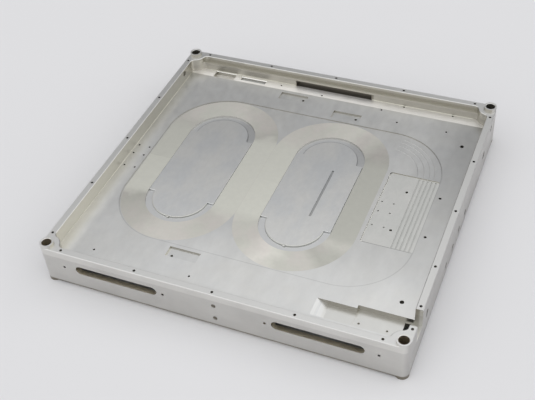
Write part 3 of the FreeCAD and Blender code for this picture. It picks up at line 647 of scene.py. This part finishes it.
def spun(corners, **turning):
    """A triangle carried round by the spin operator."""
    shape = bmesh.new()
    face = shape.faces.new([shape.verts.new(corner) for corner in corners])
    bmesh.ops.spin(shape, geom=[*face.verts, *face.edges, face], **turning)
    bmesh.ops.recalc_face_normals(shape, faces=shape.faces)
    return shape


def thread(name, mouth, inward, radius, pitch, depth):
    """A helical ridge inside a hole. The mouth is on the axis, and inward points into the hole.
    The radius, the pitch and the depth are in millimetres."""
    side = inward.orthogonal().normalized()
    crest, bite = radius - pitch * 0.45, radius * 1.02
    corners = [mouth + (inward * (pitch * along) + side * out) * MM
               for along, out in ((0.2, bite), (0.7, crest), (1.15, bite))]
    turns = int(depth / pitch) - 1
    shape = spun(corners, cent=mouth, axis=inward, dvec=inward * (pitch * MM / TURN_STEPS),
                 angle=2 * math.pi * turns, steps=TURN_STEPS * turns)
    attach(new_piece(name, shape, shaded_thread_metal))


# %% Threads in the ports and in the front wall
GALLERY_Y, GALLERY_Z = 136, FLOOR - 6.5
FRONT_TAP_X = 1.5
for word, side in (("front", -1), ("back", 1)):
    mouth = at(high.x, side * GALLERY_Y, GALLERY_Z)
    thread("port_thread_" + word, mouth, Vector((-1, 0, 0)), radius=5, pitch=1.25, depth=11)
for word, height in (("upper_light", 35.5), ("lower", 15)):
    mouth = at(FRONT_TAP_X, low.y, height)
    thread("front_thread_" + word, mouth, Vector((0, 1, 0)), radius=2.75, pitch=0.9, depth=6.5)

# %% [markdown]
# ## Tool steps
# Behind the pad a cutter stepped outwards in arcs, and each step left a low ridge. A ridge is
# a flat triangle spun through most of a quarter turn, about the corner of the skimmed floor.
# The ridges have a metal of their own, a little darker than the floor.

# %% Ridges behind the pad
RIDGE_WIDTH, RIDGE_HEIGHT = 2.0, 0.16
RIDGE_RADII = (68, 62, 55, 47)
RIDGE_START, RIDGE_TURN = math.radians(4), math.radians(76)
step_metal = plate_finish("stepped_metal", (0.50, 0.505, 0.50, 1), (0.56, 0.56, 0.545, 1), 20, 0.36)
skim_corner = at(pad_high.x - COVER_OUTER - SKIM_MARGIN, LOOP_STRAIGHT, SKIM)


def ridge(name, radius):
    """A low ridge on the skimmed floor, in an arc about the corner of the skim."""
    heading = Vector((math.cos(RIDGE_START), math.sin(RIDGE_START), 0))
    corners = [skim_corner + (heading * (radius + out) + Vector((0, 0, up))) * MM for out, up in (
        (-RIDGE_WIDTH / 2, -RIDGE_HEIGHT), (RIDGE_WIDTH / 2, -RIDGE_HEIGHT), (0, RIDGE_HEIGHT))]
    shape = spun(corners, cent=skim_corner, axis=(0, 0, 1), angle=RIDGE_TURN, steps=40)
    attach(new_piece(name, shape, step_metal))


for number, radius in enumerate(RIDGE_RADII):
    ridge(f"tool_step_{number + 1}", radius)

# %% [markdown]
# ## The studio
# The plate lies on a pale table in a bright room. The light is part of the world: it is bright
# overhead and in front of the plate, and dim low down behind it. Metal that lies flat is then
# brighter near the front of the plate, which is seen more from above, than near the back.

# %% The table
TABLE_REACH = 14.0           # metres from the plate, so that no view shows the table's edge
paper = bpy.data.materials.new("table_paper")
paper.use_nodes = True
sheet = paper.node_tree.nodes["Principled BSDF"]
sheet.inputs["Base Color"].default_value = (0.69, 0.69, 0.705, 1)
sheet.inputs["Roughness"].default_value = 0.9
shape = bmesh.new()
bmesh.ops.create_grid(shape, x_segments=1, y_segments=1, size=TABLE_REACH)
table = new_piece("table", shape, paper)
print("table laid,", 2 * TABLE_REACH, "m wide")

# %% The sky
GLOW = Vector((0.35, -0.60, 0.72)).normalized()
DIM, BRIGHT = (0.22, 0.22, 0.225, 1), (1.20, 1.20, 1.20, 1)
world = bpy.data.worlds.new("studio")
bpy.context.scene.world = world
world.use_nodes = True
sky = world.node_tree
heading = wire(sky, "ShaderNodeTexCoord").outputs["Generated"]
sockets = {0: heading, 1: tuple(GLOW)}
nearness = wire(sky, "ShaderNodeVectorMath", sockets, operation="DOT_PRODUCT").outputs["Value"]
lit = tint(sky, fade(sky, nearness, -0.25, 0.25), DIM, BRIGHT)
sky.links.new(lit, sky.nodes["Background"].inputs["Color"])
print("the sky glows from", [round(part, 2) for part in GLOW])

# %% [markdown]
# The camera stands in front of the plate, a little to the right, and looks down at it. It was
# held slightly askew, so it is also rolled about the line it looks along.

# %% The camera
CAMERA_PLACE = Vector((0.3424, -0.7594, 0.7910))
AZIMUTH, ELEVATION, ROLL = math.radians(25.65), math.radians(43.2), math.radians(-4.97)
camera_data = bpy.data.cameras.new("camera")
camera_data.sensor_width, camera_data.lens = 36.0, 61.08
camera_data.clip_start, camera_data.clip_end = 0.05, 20.0
camera = bpy.data.objects.new("camera", camera_data)
bpy.context.scene.collection.objects.link(camera)
bpy.context.scene.camera = camera
level = math.cos(ELEVATION)
look = Vector((-math.sin(AZIMUTH) * level, math.cos(AZIMUTH) * level, -math.sin(ELEVATION)))
level_right = Vector((math.cos(AZIMUTH), math.sin(AZIMUTH), 0))
right = level_right * math.cos(ROLL) + level_right.cross(look) * math.sin(ROLL)
turn = Matrix((right, right.cross(look), -look)).transposed()
camera.matrix_world = Matrix.Translation(CAMERA_PLACE) @ turn.to_4x4()
bpy.context.scene.view_settings.view_transform = "Standard"
print("camera looks along", [round(part, 2) for part in look])
